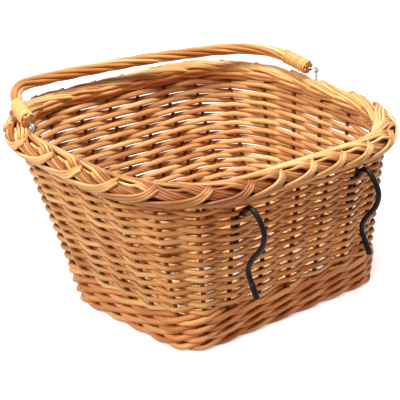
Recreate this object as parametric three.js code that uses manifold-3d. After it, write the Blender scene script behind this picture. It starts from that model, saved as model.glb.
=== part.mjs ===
// A willow bicycle basket: a woven tub with a plaited border, two wire hooks for a handlebar
// on its back wall and a roped bow handle that swings on wire ties. Millimetres, +Z up.
// X runs along the back wall, the hooks are on the -Y side and the front leans out towards +Y.
import * as THREE from 'three';
import { mergeVertices } from 'three/addons/utils/BufferGeometryUtils.js';
import Module from 'manifold-3d';

// Rim of the tub, measured on the centreline of the plaited border
const rimHalfWidth = 177;
const rimDepth = 283;
const rimCornerRadius = 103;
const rimCentreY = 10.02;
const rimHeight = 164.5;
const rimSlope = 0.05;
const borderHalfWidth = 15;
const borderHalfHeight = 11.7;
const borderLobes = 3;
const borderLobeDepth = 2.8;
const borderTurn = 60;

// Foot of the tub, measured on the middle of the wall
const footHalfWidth = 130;
const footBackY = -115.58;
const footFrontY = 53.92;
const footCornerRadius = 25.5;

// Upright stakes, and the weaver that passes them in front and behind in turn
const stakeCount = 27;
const stakeRadius = 2.3;
const stakeOffset = -8;
const stakeGather = 0.18;
const stakeFoot = 6;
const socketDepth = 9;
const weaverRows = 27;
const weaverHeight = 3.5;
const weaverThickness = 3;
const clearance = 0.3;
const bendRoom = 0.2;

// Thick rope-like wale that binds the stakes to the base
const waleHeight = 35;
const waleThickness = 13;
const waleRows = 4;
const waleGroove = 2.8;
const waleSwell = 1.2;
const waleFootRound = 3;
const waleTopRound = 2.5;

// Woven base
const baseStickCount = 5;
const baseStickRadius = 3.5;
const baseStickPitch = 30;
const baseStickSeat = 2.2;
const baseRowPitch = 12;
const baseRowCount = 19;
const baseStrandWidth = 11.4;
const baseStrandThickness = 3.4;

// Plastic coated wire hooks
const hookWireRadius = 2.6;
const hookCoreRadius = 2;
const hookLeftX = -86.5;
const hookRightX = 70;
const hookBelowBorder = 22.425;
const hookReach = 28.5;
const hookShoulder = 11;
const hookBarRoom = 8;
const hookHollow = 3.8;
const hookNeck = 16;
const hookNeckTurn = 3.4;
const hookTipTurn = 4.4;
const hookTail = 32;
const hookRise = 8;
const hookDrop = 64;
const sleeveLength = 16;
const sleeveRadius = 2.9;
const sleeveEnd = 2;
const sleeveChamfer = 1;

// Bow handle, its wrapped ends and the wire links that it swings on
const tieLeftInset = 9.5;
const tieLeftForward = 61;
const tieLeftRise = 4.55;
const tieRightInset = -1.4;
const tieRightForward = 11.7;
const tieRightRise = 11.115;
const handleRestTilt = 8.7;
const handleHeight = 95;
const bowLeftGap = 3.5;
const bowLeftRise = 12;
const bowRightGap = 6;
const bowRightRise = 6;
const ropeRadius = 5.9;
const ropeLobes = 6;
const ropeTwistPitch = 58;
const whippingTurns = 10;
const whippingLength = 34;
const whippingThickness = 1.5;
const whippingGap = 1;
const whippingInset = 2;
const linkWireRadius = 0.9;
const linkPlay = 0.5;
const linkHalfWidth = 4.5;
const linkDepth = 11;
const linkStem = 10;
const linkBend = 1.5;

const willow = { color: 0xd79a5c, roughness: 0.6, metalness: 0 };
const paleWillow = { color: 0xe2b478, roughness: 0.55, metalness: 0 };
const blackPlastic = { color: 0x15161a, roughness: 0.35, metalness: 0 };
const galvanised = { color: 0x9a9da0, roughness: 0.35, metalness: 1 };

const wasm = await Module();
wasm.setup();

const basket = new THREE.Group();

function addPiece(name, geometry, finish, parent = basket) {
  const mesh = new THREE.Mesh(geometry, new THREE.MeshStandardMaterial(finish));
  mesh.name = name;
  parent.add(mesh);
}

// Closed solid through rings of points: a tube with flat ends, or a closed ring
function loft(rings, closed = false) {
  const sides = rings[0].length;
  const positions = rings.flat().flatMap((p) => [p.x, p.y, p.z]);
  const faces = [];
  const spans = closed ? rings.length : rings.length - 1;
  for (let i = 0; i < spans; i++) {
    const here = i * sides;
    const next = ((i + 1) % rings.length) * sides;
    for (let j = 0; j < sides; j++) {
      const k = (j + 1) % sides;
      faces.push([here + j, here + k, next + k], [here + j, next + k, next + j]);
    }
  }
  if (!closed) {
    const last = (rings.length - 1) * sides;
    for (let j = 1; j < sides - 1; j++) {
      faces.push([0, j + 1, j], [last, last + j, last + j + 1]);
    }
  }
  const geometry = new THREE.BufferGeometry();
  geometry.setAttribute('position', new THREE.Float32BufferAttribute(positions, 3));
  const outward = signedVolume(positions, faces) > 0;
  geometry.setIndex(faces.flatMap(([a, b, c]) => (outward ? [a, b, c] : [a, c, b])));
  return geometry;
}

function signedVolume(positions, faces) {
  const at = (i) => new THREE.Vector3().fromArray(positions, 3 * i);
  return faces.reduce((sum, [a, b, c]) => sum + at(a).dot(at(b).cross(at(c))) / 6, 0);
}

function toSolid(geometry) {
  const plain = new THREE.BufferGeometry();
  plain.setAttribute('position', geometry.getAttribute('position').clone());
  plain.setIndex(geometry.getIndex() ? geometry.getIndex().clone() : null);
  const merged = mergeVertices(plain, 1e-4);
  const vertProperties = new Float32Array(merged.getAttribute('position').array);
  const triVerts = new Uint32Array(merged.getIndex().array);
  return new wasm.Manifold(new wasm.Mesh({ numProp: 3, vertProperties, triVerts }));
}

function toGeometry(solid) {
  const mesh = solid.getMesh();
  const geometry = new THREE.BufferGeometry();
  geometry.setAttribute('position', new THREE.Float32BufferAttribute(mesh.vertProperties, 3));
  geometry.setIndex(Array.from(mesh.triVerts));
  return geometry;
}

function cutFrom(geometry, cutters) {
  const tools = wasm.Manifold.union(cutters.map(toSolid));
  return toGeometry(toSolid(geometry).subtract(tools));
}

// Round rod along a list of points, each ring square to the rod, with radius given per point
function rod(points, radius, sides) {
  const radiusAt = typeof radius === 'function' ? radius : () => radius;
  const directions = points.map((p, i) => {
    const before = points[Math.max(i - 1, 0)];
    const after = points[Math.min(i + 1, points.length - 1)];
    return after.clone().sub(before).normalize();
  });
  const seed = Math.abs(directions[0].x) < 0.9 ? new THREE.Vector3(1, 0, 0) : new THREE.Vector3(0, 0, 1);
  let across = seed.clone().cross(directions[0]).normalize();
  return loft(points.map((p, i) => {
    across = across.clone().addScaledVector(directions[i], -across.dot(directions[i])).normalize();
    const other = directions[i].clone().cross(across);
    return Array.from({ length: sides }, (_, j) => {
      const angle = (2 * Math.PI * j) / sides;
      return p.clone()
        .addScaledVector(across, radiusAt(i) * Math.cos(angle))
        .addScaledVector(other, radiusAt(i) * Math.sin(angle));
    });
  }));
}

// Rounded rectangle that starts in the middle of its back side and runs round towards +X.
// Its four sides are counted between the middles of the corners, so that the rim and the foot
// match corner for corner.
class Outline {
  constructor(halfWidth, backY, frontY, radius) {
    Object.assign(this, { halfWidth, backY, frontY, radius });
    this.halfSpanX = halfWidth - radius;
    this.halfSpanY = (frontY - backY) / 2 - radius;
    this.halfArc = (Math.PI / 4) * radius;
    this.sideX = 2 * (this.halfSpanX + this.halfArc);
    this.sideY = 2 * (this.halfSpanY + this.halfArc);
    this.length = 2 * (this.sideX + this.sideY);
  }

  // side 0 is the back, then +X, front and -X; along runs from -1 to 1 between corner middles
  onSide(side, along) {
    const half = (side % 2 === 0 ? this.sideX : this.sideY) / 2;
    const straight = side % 2 === 0 ? this.halfSpanX : this.halfSpanY;
    const reach = (side % 2 === 0 ? (this.frontY - this.backY) / 2 : this.halfWidth);
    const travel = along * half;
    const turn = Math.sign(travel) * Math.max(Math.abs(travel) - straight, 0) / this.radius;
    const x = turn === 0 ? travel : Math.sign(travel) * straight + this.radius * Math.sin(turn);
    const out = reach - this.radius * (1 - Math.cos(turn));
    const heading = (side * Math.PI) / 2;
    const tangent = new THREE.Vector2(Math.cos(heading + turn), Math.sin(heading + turn));
    const point = new THREE.Vector2(x, -out).rotateAround(new THREE.Vector2(), heading);
    point.y += (this.backY + this.frontY) / 2;
    return { point, tangent };
  }

  // distance runs from the middle of the back side
  at(distance) {
    const { side, along } = this.locate(distance);
    return this.onSide(side, along);
  }

  locate(distance) {
    let left = (((distance + this.sideX / 2) % this.length) + this.length) % this.length;
    for (let side = 0; side < 4; side++) {
      const span = side % 2 === 0 ? this.sideX : this.sideY;
      if (left <= span || side === 3) return { side, along: (2 * left) / span - 1 };
      left -= span;
    }
    return null;
  }
}

const rim = new Outline(rimHalfWidth, rimCentreY - rimDepth / 2, rimCentreY + rimDepth / 2, rimCornerRadius);
const foot = new Outline(footHalfWidth, footBackY, footFrontY, footCornerRadius);

// Point and directions of the wall's middle surface: distance along the rim, and height from 0 at
// the foot to 1 at the border's centreline. Stakes stand nearly parallel in the middle of each side
// and draw together at the corners of the foot.
function wallAt(distance, height) {
  const { side, along } = rim.locate(distance);
  const gathered = along * (1 + stakeGather) - stakeGather * along ** 3;
  const low = foot.onSide(side, gathered).point;
  const high = rim.onSide(side, along);
  const bottom = new THREE.Vector3(low.x, low.y, 0);
  const top = new THREE.Vector3(high.point.x, high.point.y, borderCentreHeight(high.point.y));
  const up = top.clone().sub(bottom).normalize();
  const tangent = new THREE.Vector3(high.tangent.x, high.tangent.y, 0);
  const out = tangent.clone().cross(up).normalize();
  const lean = Math.hypot(top.x - bottom.x, top.y - bottom.y) / top.z;
  return { point: bottom.clone().lerp(top, height), up, out, lean, topHeight: top.z };
}

function borderCentreHeight(y) {
  return rimHeight + rimSlope * (y - rimCentreY);
}

// The leg of a hook stands in the weave beside its nearest stake, on the side of the back's middle
const legSpacing = stakeRadius + hookWireRadius + clearance + bendRoom;
const hookHeight = borderCentreHeight(rimCentreY - rimDepth / 2) - hookBelowBorder;
const hookLegs = [hookLeftX, hookRightX].map((x) => {
  const spacing = rim.length / stakeCount;
  const column = Math.round((x - stakeOffset) / spacing);
  let distance = x;
  for (let i = 0; i < 6; i++) {
    const { point } = wallAt(distance, hookHeight / wallAt(distance, 0).topHeight);
    distance += x - point.x;
  }
  return { x, distance, column: (column + stakeCount) % stakeCount, stakeSide: Math.sign(column) };
});

function stakeDistance(index) {
  const leg = hookLegs.find(({ column }) => column === index % stakeCount);
  if (leg) return leg.distance + leg.stakeSide * legSpacing;
  return stakeOffset + ((index % stakeCount) * rim.length) / stakeCount;
}

function stakeAxis(index, fromHeight, toHeight) {
  const { topHeight } = wallAt(stakeDistance(index), 0);
  const low = wallAt(stakeDistance(index), fromHeight / topHeight).point;
  const high = wallAt(stakeDistance(index), toHeight(topHeight) / topHeight).point;
  return [low, high];
}

// A stake stands in the wale from just above its foot and reaches up into the border
function addStakes() {
  for (let i = 0; i < stakeCount; i++) {
    const axis = stakeAxis(i, stakeFoot, (top) => top - borderHalfHeight + socketDepth);
    addPiece(`stake_${String(i + 1).padStart(2, '0')}`, rod(axis, stakeRadius, 6), willow);
  }
}

function stakeHoles() {
  return Array.from({ length: stakeCount }, (_, i) => {
    const ends = (top) => top - borderHalfHeight + socketDepth + clearance;
    return rod(stakeAxis(i, stakeFoot - clearance, ends), stakeRadius + 1.2 * clearance, 6);
  });
}

// Distance of the weaver's middle from the wall's middle where it passes a stake or a hook's leg
const weaverSwing = Math.max(stakeRadius, hookWireRadius) + clearance + bendRoom + weaverThickness / 2;
const weaveHalfThickness = weaverSwing + weaverThickness / 2;

function weaverHeightAt(turn, distance) {
  const { topHeight, lean } = wallAt(distance, 0);
  const underside = 1 / Math.hypot(lean / borderHalfWidth, 1 / borderHalfHeight);
  const lowest = waleHeight + clearance + weaverHeight / 2;
  const highest = topHeight - underside - clearance - weaverHeight / 2;
  return lowest + (turn / weaverRows) * (highest - lowest);
}

// One weaver climbs round the tub and passes each stake on the other side than the row below,
// because the number of stakes is odd. It takes a hook's leg together with the stake beside it.
function sideWeaveGeometry() {
  const rings = [];
  for (let pass = 0; pass <= weaverRows * stakeCount; pass++) {
    const leg = hookLegs.find(({ column }) => column === pass % stakeCount);
    const distances = leg ? [leg.distance, stakeDistance(pass)] : [stakeDistance(pass)];
    for (const distance of distances.sort((p, q) => p - q)) {
      const { topHeight } = wallAt(distance, 0);
      const height = weaverHeightAt(pass / stakeCount, distance) / topHeight;
      const { point, up, out } = wallAt(distance, height);
      const middle = point.addScaledVector(out, (pass % 2 === 0 ? 1 : -1) * weaverSwing);
      const corners = [[1, 1], [1, -1], [-1, -1], [-1, 1]];
      rings.push(corners.map(([side, rise]) => middle.clone()
        .addScaledVector(out, (side * weaverThickness) / 2)
        .addScaledVector(up, (rise * weaverHeight) / 2)));
    }
  }
  return loft(rings);
}

// Of the heights at which the weaver passes a hook's leg on the inside, the one nearest to the
// wanted height: there the wire comes out between two rows
function hookExitHeight({ distance, column }) {
  const heights = Array.from({ length: weaverRows }, (_, turn) => turn * stakeCount + column)
    .filter((pass) => pass % 2 === 1)
    .map((pass) => weaverHeightAt(pass / stakeCount, distance));
  return heights.reduce((best, h) => (Math.abs(h - hookHeight) < Math.abs(best - hookHeight) ? h : best));
}

// Room for the bend and the way out of a hook's wire
function hookPassage(leg) {
  return rod(hookCentreline(leg).slice(2, 12), hookWireRadius + 1.3 * clearance, 8);
}

function addSideWeave() {
  addPiece('side_weave', cutFrom(sideWeaveGeometry(), hookLegs.map(hookPassage)), willow);
}

// Base: thick sticks lengthwise, and a flat band of rods that goes to and fro across them
const stickHeight = baseStrandThickness + clearance + baseStickRadius;
const overHeight = stickHeight + baseStickRadius + clearance + baseStrandThickness / 2;
const underHeight = baseStrandThickness / 2;
const baseCentreY = (footBackY + footFrontY) / 2;
const baseInnerHalfDepth = (footFrontY - footBackY) / 2 - waleThickness / 2;

function baseStickY(index) {
  return baseCentreY + (index - (baseStickCount - 1) / 2) * baseStickPitch;
}

// Wale: four rows of thick rods that twist round the stakes
function addWale() {
  const steps = stakeCount * 2;
  const rowHeight = waleHeight / waleRows;
  const half = waleThickness / 2;
  const rings = [];
  for (let i = 0; i < steps; i++) {
    const distance = stakeOffset + (i * rim.length) / steps;
    const { out, topHeight } = wallAt(distance, 0);
    const at = (offset, height) => wallAt(distance, height / topHeight).point
      .addScaledVector(new THREE.Vector3(out.x, out.y, (out.z * height) / waleHeight).normalize(), offset);
    const outer = [at(half - waleFootRound, 0)];
    for (let row = 0; row < waleRows; row++) {
      const phase = Math.PI * (i + row);
      outer.push(at(half - waleSwell + waleSwell * Math.cos(phase), (row + 0.5) * rowHeight));
      if (row < waleRows - 1) outer.push(at(half - waleGroove, (row + 1) * rowHeight));
    }
    outer.push(at(half - waleTopRound, waleHeight));
    const inner = [
      at(waleTopRound - half, waleHeight),
      at(-half, waleHeight * 0.8),
      at(-half, waleHeight * 0.2),
      at(waleFootRound - half, 0),
    ];
    rings.push([...outer, ...inner]);
  }
  const stickSockets = Array.from({ length: baseStickCount }, (_, i) => baseStickRod(i, 1.1 * clearance));
  addPiece('base_wale', cutFrom(loft(rings, true), [...stakeHoles(), ...stickSockets]), willow);
}

// Plaited border as one ring: its bands of rods come up on the inner side, cross the top and go
// down on the outer side, one band further on at each stake
function addBorder() {
  const steps = stakeCount * 3;
  const sides = 4 * borderLobes;
  const bandsRound = borderLobes * Math.round(stakeCount / borderLobes);
  const rings = [];
  for (let i = 0; i < steps; i++) {
    const { point, tangent } = rim.at((i * rim.length) / steps);
    const out = new THREE.Vector3(tangent.y, -tangent.x, 0);
    const centre = new THREE.Vector3(point.x, point.y, borderCentreHeight(point.y));
    const twist = (2 * Math.PI * bandsRound * i) / (steps * borderLobes);
    rings.push(Array.from({ length: sides }, (_, j) => {
      const angle = (2 * Math.PI * j) / sides + THREE.MathUtils.degToRad(borderTurn) - twist;
      const inset = j % 4 < 2 ? 0 : borderLobeDepth;
      return centre.clone()
        .addScaledVector(out, (borderHalfWidth - inset) * Math.cos(angle))
        .add(new THREE.Vector3(0, 0, (borderHalfHeight - inset) * Math.sin(angle)));
    }));
  }
  addPiece('plaited_border', cutFrom(loft(rings, true), [...stakeHoles(), ...linkHoles()]), willow);
}

// A base stick reaches a little way into the wale at both ends
function baseStickRod(index, extra) {
  const innerRadius = footCornerRadius - waleThickness / 2;
  const edge = Math.abs(baseStickY(index) - baseCentreY);
  const past = Math.max(edge - (baseInnerHalfDepth - innerRadius), 0);
  const corner = innerRadius - Math.sqrt(innerRadius ** 2 - past ** 2);
  const sideLean = (rimHalfWidth - footHalfWidth) / rimHeight;
  const innerFace = footHalfWidth + sideLean * stickHeight - waleThickness / 2 - corner;
  const reach = innerFace + baseStickSeat + extra;
  const ends = [-1, 1].map((s) => new THREE.Vector3(s * reach, baseStickY(index), stickHeight));
  return rod(ends, baseStickRadius + extra, 8);
}

function addBaseSticks() {
  for (let i = 0; i < baseStickCount; i++) {
    addPiece(`base_stick_${i + 1}`, baseStickRod(i, 0), paleWillow);
  }
}

function addBaseWeave() {
  const half = baseStrandWidth / 2;
  const turnY = baseStickY(baseStickCount - 1) - baseCentreY + baseStickRadius + clearance + half;
  const rings = [];
  const ring = (x, y, z, across) => {
    const lift = baseStrandThickness / 2;
    rings.push([[1, 1], [1, -1], [-1, -1], [-1, 1]].map(([a, b]) => (
      new THREE.Vector3(x + a * across.x, y + a * across.y, z + b * lift))));
  };
  for (let row = 0; row < baseRowCount; row++) {
    const x = (row - (baseRowCount - 1) / 2) * baseRowPitch;
    const forward = row % 2 === 0 ? 1 : -1;
    const straight = new THREE.Vector2(half * forward, 0);
    if (row > 0) ring(x, baseCentreY - forward * turnY, stickHeight, new THREE.Vector2(half * forward, -half));
    for (let k = 0; k < baseStickCount; k++) {
      const stick = forward > 0 ? k : baseStickCount - 1 - k;
      const height = (row + stick) % 2 === 0 ? underHeight : overHeight;
      ring(x, baseStickY(stick) - forward * baseStickRadius, height, straight);
      ring(x, baseStickY(stick) + forward * baseStickRadius, height, straight);
    }
    if (row < baseRowCount - 1) {
      ring(x, baseCentreY + forward * turnY, stickHeight, new THREE.Vector2(half * forward, half));
    }
  }
  addPiece('base_weave', loft(rings), willow);
}

// Hook centreline: leg in the weave, bend, way out between two rows, and the S-shaped hook
function hookCentreline(leg) {
  const exit = hookExitHeight(leg);
  const { topHeight } = wallAt(leg.distance, 0);
  const onWall = (z) => wallAt(leg.distance, z / topHeight).point;
  const wallY = onWall(exit).y;
  const bend = 2 * hookWireRadius;
  const points = [onWall(exit - hookTail), onWall(exit - hookTail / 2)];
  for (let i = 0; i <= 4; i++) {
    const turn = (i * Math.PI) / 8;
    const y = wallY - bend + bend * Math.cos(turn);
    points.push(new THREE.Vector3(leg.x, y, exit - bend + bend * Math.sin(turn)));
  }
  const faceY = wallY - weaveHalfThickness;
  const outerY = faceY - hookReach;
  const neckY = wallY - hookNeck;
  const curve = new THREE.CatmullRomCurve3([
    [faceY + 0.09 * hookShoulder, 0],
    [faceY - 0.18 * hookShoulder, 0.12 * hookRise],
    [faceY - 0.41 * hookShoulder, 0.7 * hookRise],
    [faceY - hookShoulder, hookRise],
    [outerY + hookBarRoom, 0.2 * hookRise],
    [outerY, -0.19 * hookDrop],
    [outerY + hookHollow, -0.43 * hookDrop],
    [neckY - hookNeckTurn, -0.6 * hookDrop],
    [neckY, -0.74 * hookDrop],
    [neckY - 0.21 * hookTipTurn, -0.87 * hookDrop],
    [neckY - hookTipTurn, -hookDrop],
  ].map(([y, rise]) => new THREE.Vector3(leg.x, y, exit + rise)));
  points.push(...curve.getPoints(22));
  return points;
}

function addHook(side, leg) {
  const wire = hookCentreline(leg);
  const last = wire.at(-1);
  const direction = last.clone().sub(wire.at(-2)).normalize();
  const coreEnd = last.clone().addScaledVector(direction, sleeveLength - 2 * clearance - sleeveEnd);
  const points = [...wire, last.clone().addScaledVector(direction, 0.05), coreEnd];
  const radiusAt = (i) => (i < wire.length ? hookWireRadius : hookCoreRadius);
  addPiece(`hook_${side}`, rod(points, radiusAt, 8), blackPlastic);
  const profile = [
    [hookCoreRadius + clearance, 0],
    [sleeveRadius, 0],
    [sleeveRadius, sleeveLength - sleeveChamfer],
    [sleeveRadius - sleeveChamfer, sleeveLength],
    [0, sleeveLength],
    [0, sleeveLength - sleeveEnd],
    [hookCoreRadius + clearance, sleeveLength - sleeveEnd],
    [hookCoreRadius + clearance, 0],
  ].map(([r, along]) => new THREE.Vector2(r, along));
  const sleeve = new THREE.LatheGeometry(profile, 12);
  sleeve.applyQuaternion(new THREE.Quaternion().setFromUnitVectors(new THREE.Vector3(0, 1, 0), direction));
  const seat = last.clone().addScaledVector(direction, 0.05 + clearance);
  sleeve.translate(seat.x, seat.y, seat.z);
  addPiece(`hook_sleeve_${side}`, sleeve, blackPlastic);
}

// The ties stand where they were bound by hand: in from the widest part of the rim, forward of its
// middle, and with the pivot a little above the border. So the axis lies a little askew.
function tiePivot(end, inset, forward, rise) {
  const y = rimCentreY + forward;
  return new THREE.Vector3(end * (rimHalfWidth - inset), y, borderCentreHeight(y) + borderHalfHeight + rise);
}

const pivotLeft = tiePivot(-1, tieLeftInset, tieLeftForward, tieLeftRise);
const pivotRight = tiePivot(1, tieRightInset, tieRightForward, tieRightRise);

// The handle's own frame: along the hinge axis, up the bow, and square to both
const handleCentre = pivotLeft.clone().lerp(pivotRight, 0.5);
const handleHalfSpan = pivotLeft.distanceTo(pivotRight) / 2;
const handleAlong = pivotRight.clone().sub(pivotLeft).normalize();
const handleUp = new THREE.Vector3(0, 0, 1).cross(handleAlong).normalize()
  .applyAxisAngle(handleAlong, THREE.MathUtils.degToRad(handleRestTilt));
const handleAcross = handleAlong.clone().cross(handleUp);

function onHandle(along, up, across = 0) {
  return handleCentre.clone()
    .addScaledVector(handleAlong, along)
    .addScaledVector(handleUp, up)
    .addScaledVector(handleAcross, across);
}

// The bow as it was bent by hand: its ends lie beside the pivots, and the points between are
// shares of its half span and height
const bowShape = [
  [-0.965, 0.33], [-0.925, 0.56], [-0.875, 0.76], [-0.795, 0.905], [-0.647, 0.96], [-0.36, 0.995],
  [0.06, 1], [0.35, 0.955], [0.62, 0.89], [0.81, 0.77], [0.91, 0.6], [0.95, 0.38],
];
const bowCurve = new THREE.CatmullRomCurve3([
  onHandle(bowLeftGap - handleHalfSpan, bowLeftRise),
  ...bowShape.map(([along, up]) => onHandle(along * handleHalfSpan, up * handleHeight)),
  onHandle(handleHalfSpan - bowRightGap, bowRightRise),
]);

function bowFrame(distance) {
  const share = Math.min(distance / bowCurve.getLength(), 1);
  const centre = bowCurve.getPointAt(share);
  const direction = bowCurve.getTangentAt(share);
  return { centre, direction, sideways: handleAcross, inwards: direction.clone().cross(handleAcross) };
}

function addHandleBow() {
  const length = bowCurve.getLength();
  const steps = 42;
  const sides = 2 * ropeLobes;
  const rings = Array.from({ length: steps + 1 }, (_, i) => {
    const distance = (i * length) / steps;
    const { centre, sideways, inwards } = bowFrame(distance);
    const twist = (2 * Math.PI * distance) / ropeTwistPitch / 1.5;
    return Array.from({ length: sides }, (__, j) => {
      const angle = (2 * Math.PI * j) / sides + twist;
      const radius = j % 2 === 0 ? ropeRadius : ropeRadius * 0.86;
      return centre.clone()
        .addScaledVector(sideways, radius * Math.cos(angle))
        .addScaledVector(inwards, radius * Math.sin(angle));
    });
  });
  addPiece('handle_bow', cutFrom(loft(rings), [-1, 1].map(stemHole)), willow);
}

// Wrapping at a handle end: one strand, wound in an open helix and led straight off at both ends
function whippingPoints(end) {
  const length = bowCurve.getLength();
  const stepsPerTurn = 11;
  const pitch = whippingLength / whippingTurns;
  const radius = ropeRadius + clearance + whippingThickness / 2;
  return Array.from({ length: whippingTurns * stepsPerTurn + 1 }, (_, i) => {
    const turn = i / stepsPerTurn;
    const distance = whippingInset + turn * pitch;
    const { centre, direction, sideways, inwards } = bowFrame(end < 0 ? distance : length - distance);
    const angle = 2 * Math.PI * turn * (end < 0 ? 1 : -1);
    const outwards = sideways.clone().multiplyScalar(Math.cos(angle)).addScaledVector(inwards, Math.sin(angle));
    return { middle: centre.addScaledVector(outwards, radius), outwards, direction };
  });
}

function addWhipping(side, end) {
  const width = whippingLength / whippingTurns - whippingGap;
  const points = whippingPoints(end);
  const first = points[0].middle.clone().sub(points[1].middle).normalize().multiplyScalar(whippingThickness);
  const last = points.at(-1).middle.clone().sub(points.at(-2).middle).normalize().multiplyScalar(whippingThickness);
  points.unshift({ ...points[0], middle: points[0].middle.clone().add(first) });
  points.push({ ...points.at(-1), middle: points.at(-1).middle.clone().add(last) });
  const rings = points.map(({ middle, outwards, direction }) => (
    [[1, -1], [0.6, 1], [-0.6, 1], [-1, -1]].map(([a, b]) => middle.clone()
      .addScaledVector(direction, (a * width) / 2)
      .addScaledVector(outwards, (b * whippingThickness) / 2))));
  addPiece(`whipping_${side}`, loft(rings), paleWillow);
  return leastTurnGap(rings);
}

// Least distance between points of a winding that lie at least three quarters of a turn apart
function leastTurnGap(rings) {
  let least = Infinity;
  for (let i = 0; i < rings.length; i++) {
    for (let j = i + 9; j < rings.length; j++) {
      for (const p of rings[i]) {
        for (const q of rings[j]) least = Math.min(least, p.distanceTo(q));
      }
    }
  }
  return least;
}

// Wire links: a staple that stands in the border, and an eye round it on the handle's end
function linkPivot(end) {
  return onHandle(end * handleHalfSpan, 0);
}

function stapleFeet(end, depth) {
  const pivot = linkPivot(end);
  const borderTop = borderCentreHeight(pivot.y) + borderHalfHeight;
  return [-1, 1].map((s) => pivot.clone().addScaledVector(handleAlong, s * linkHalfWidth).setZ(borderTop - depth));
}

function linkHoles() {
  return [-1, 1].flatMap((end) => stapleFeet(end, linkDepth + clearance).map((low) => (
    rod([low, low.clone().setZ(linkPivot(end).z)], linkWireRadius + clearance, 8))));
}

function addStaple(side, end) {
  const [left, right] = stapleFeet(end, linkDepth);
  const { z } = linkPivot(end);
  const bend = linkBend;
  const shift = handleAlong.clone().multiplyScalar(bend);
  const points = [
    left,
    left.clone().setZ(z - bend),
    left.clone().setZ(z - 0.3 * bend).addScaledVector(shift, 0.3),
    left.clone().setZ(z).add(shift),
    right.clone().setZ(z).sub(shift),
    right.clone().setZ(z - 0.3 * bend).addScaledVector(shift, -0.3),
    right.clone().setZ(z - bend),
    right,
  ];
  addPiece(`hinge_staple_${side}`, rod(points, linkWireRadius, 8), galvanised);
}

function stemAxis(end, depth) {
  const length = bowCurve.getLength();
  const { centre, direction } = bowFrame(end < 0 ? 0 : length);
  return [centre, centre.clone().addScaledVector(direction, -end * depth)];
}

function stemHole(end) {
  const [outer, inner] = stemAxis(end, linkStem + clearance);
  const past = outer.clone().add(outer.clone().sub(inner).normalize());
  return rod([past, inner], linkWireRadius + clearance, 8);
}

function addEye(side, end) {
  const [outer, inner] = stemAxis(end, linkStem);
  const loopRadius = 2 * linkWireRadius + linkPlay;
  const pivot = linkPivot(end);
  const points = [inner, outer, outer.clone().lerp(onHandle(end * handleHalfSpan, loopRadius), 0.5)];
  const steps = 12;
  for (let i = 0; i <= steps; i++) {
    const angle = (1.72 * Math.PI * i) / steps;
    points.push(pivot.clone()
      .addScaledVector(handleUp, loopRadius * Math.cos(angle))
      .addScaledVector(handleAcross, loopRadius * Math.sin(angle)));
  }
  addPiece(`hinge_eye_${side}`, rod(points, linkWireRadius, 6), galvanised);
}

addBaseSticks();
addBaseWeave();
addWale();
addStakes();
addSideWeave();
addBorder();
['left', 'right'].forEach((side, i) => addHook(side, hookLegs[i]));
addHandleBow();
[['left', -1], ['right', 1]].forEach(([side, end]) => {
  const gap = addWhipping(side, end);
  console.log(`whipping_${side}: least gap between turns ${gap.toFixed(2)} mm`);
  addStaple(side, end);
  addEye(side, end);
});

export default basket;
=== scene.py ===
import math

import bmesh
import bpy
import numpy as np
from mathutils import Matrix, Vector


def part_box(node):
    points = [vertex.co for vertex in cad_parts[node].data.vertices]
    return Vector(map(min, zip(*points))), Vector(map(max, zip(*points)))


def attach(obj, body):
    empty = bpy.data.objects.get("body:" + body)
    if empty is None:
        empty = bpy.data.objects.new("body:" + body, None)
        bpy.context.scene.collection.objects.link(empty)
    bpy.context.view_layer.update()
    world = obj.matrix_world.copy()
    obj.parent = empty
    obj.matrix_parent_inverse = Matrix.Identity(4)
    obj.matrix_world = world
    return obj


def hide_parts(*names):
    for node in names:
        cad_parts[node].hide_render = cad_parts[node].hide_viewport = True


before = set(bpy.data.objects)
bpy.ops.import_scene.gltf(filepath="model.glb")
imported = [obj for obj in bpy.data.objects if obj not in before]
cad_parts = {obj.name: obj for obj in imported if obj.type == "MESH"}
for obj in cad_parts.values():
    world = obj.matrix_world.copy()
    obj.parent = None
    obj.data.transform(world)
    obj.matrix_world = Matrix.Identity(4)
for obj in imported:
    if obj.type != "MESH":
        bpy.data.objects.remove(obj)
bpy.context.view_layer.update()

chance = np.random.default_rng(7)


# Base sticks: five thick straight rods that run the length of the base. They are whole
# peeled willow, and their ends are pushed into the waling.
def lay_rods(name, rods, sides=8):
    """One mesh of round rods. A rod is its points and its radius at each of them."""
    curve = bpy.data.curves.new(name, "CURVE")
    curve.dimensions = "3D"
    curve.twist_mode = "MINIMUM"
    curve.bevel_depth = 1
    curve.bevel_resolution = sides // 2 - 2
    curve.use_fill_caps = True
    for points, radii in rods:
        spline = curve.splines.new("POLY")
        spline.points.add(len(points) - 1)
        spline.points.foreach_set("co", np.c_[points, np.ones(len(points))].ravel())
        spline.points.foreach_set("radius", np.broadcast_to(radii, len(points)))
    bent = bpy.data.objects.new(name + "_bent", curve)
    bpy.context.scene.collection.objects.link(bent)
    shaped = bent.evaluated_get(bpy.context.evaluated_depsgraph_get())
    mesh = bpy.data.meshes.new_from_object(shaped)
    bpy.data.objects.remove(bent)
    bpy.data.curves.remove(curve)
    mesh.name = name
    mark_rods(mesh, rods, sides)
    piece = bpy.data.objects.new(name, mesh)
    bpy.context.scene.collection.objects.link(piece)
    return piece


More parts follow.
